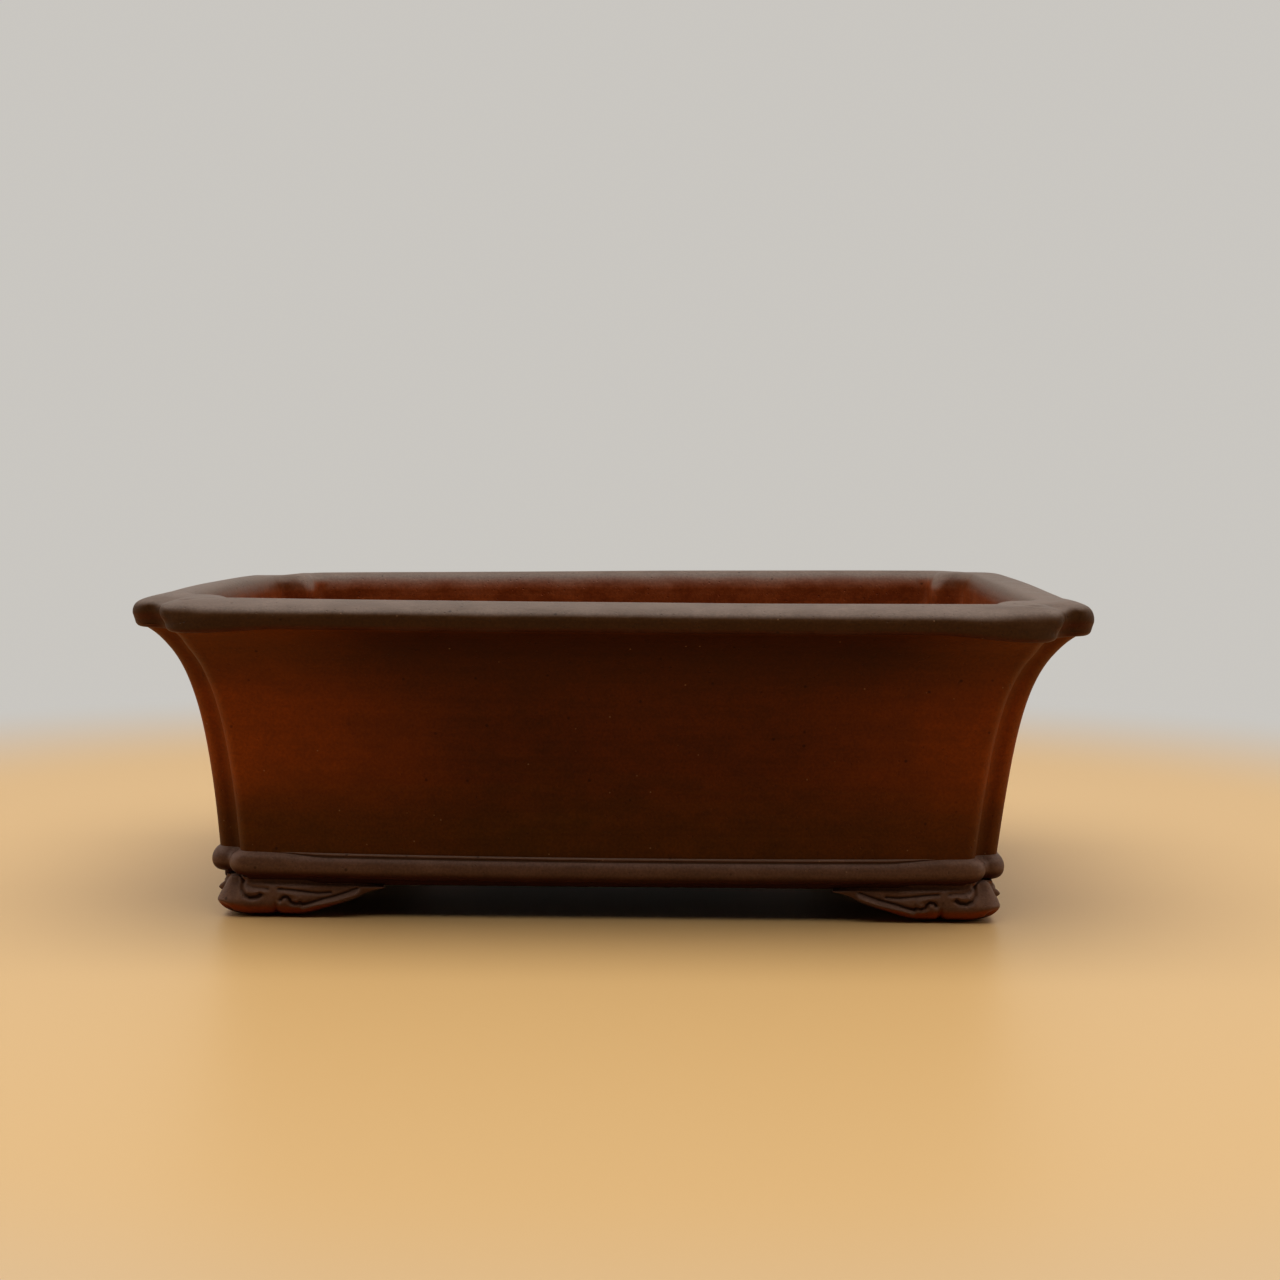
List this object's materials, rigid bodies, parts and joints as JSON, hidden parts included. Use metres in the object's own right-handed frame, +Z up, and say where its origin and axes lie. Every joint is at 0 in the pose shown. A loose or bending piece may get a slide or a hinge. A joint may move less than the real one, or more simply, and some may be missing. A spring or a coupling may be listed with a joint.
{
  "type": "bonsai pot",
  "caption": "Rectangular unglazed brown bonsai pot with indented corners, a wide flat lip, flared walls, a half-round belt at the base and carved cloud feet.",
  "frame": {"origin": "on the supporting surface, under the centre of the pot", "axes": "+X along the long side to the right, +Y from the front to the back, +Z up"},
  "size_m": [0.39, 0.266, 0.1348],
  "materials": {
    "wall_clay": "satin, unglazed",
    "lip_clay": "satin, unglazed",
    "belt_clay": "satin, unglazed",
    "foot_clay": "matte, unglazed",
    "floor_clay": "matte, unglazed"
  },
  "bodies": {
    "root": {"floor_slab": "floor_clay", "front_wall": "wall_clay", "back_wall": "wall_clay", "left_wall": "wall_clay", "right_wall": "wall_clay", "corner_post_front_left": "wall_clay", "corner_post_front_right": "wall_clay", "corner_post_back_left": "wall_clay", "corner_post_back_right": "wall_clay", "rim_front": "lip_clay", "rim_back": "lip_clay", "rim_left": "lip_clay", "rim_right": "lip_clay", "belt_front": "belt_clay", "belt_back": "belt_clay", "belt_left": "belt_clay", "belt_right": "belt_clay", "foot_front_left": "foot_clay", "foot_front_right": "foot_clay", "foot_back_left": "foot_clay", "foot_back_right": "foot_clay"}
  },
  "joints": []
}
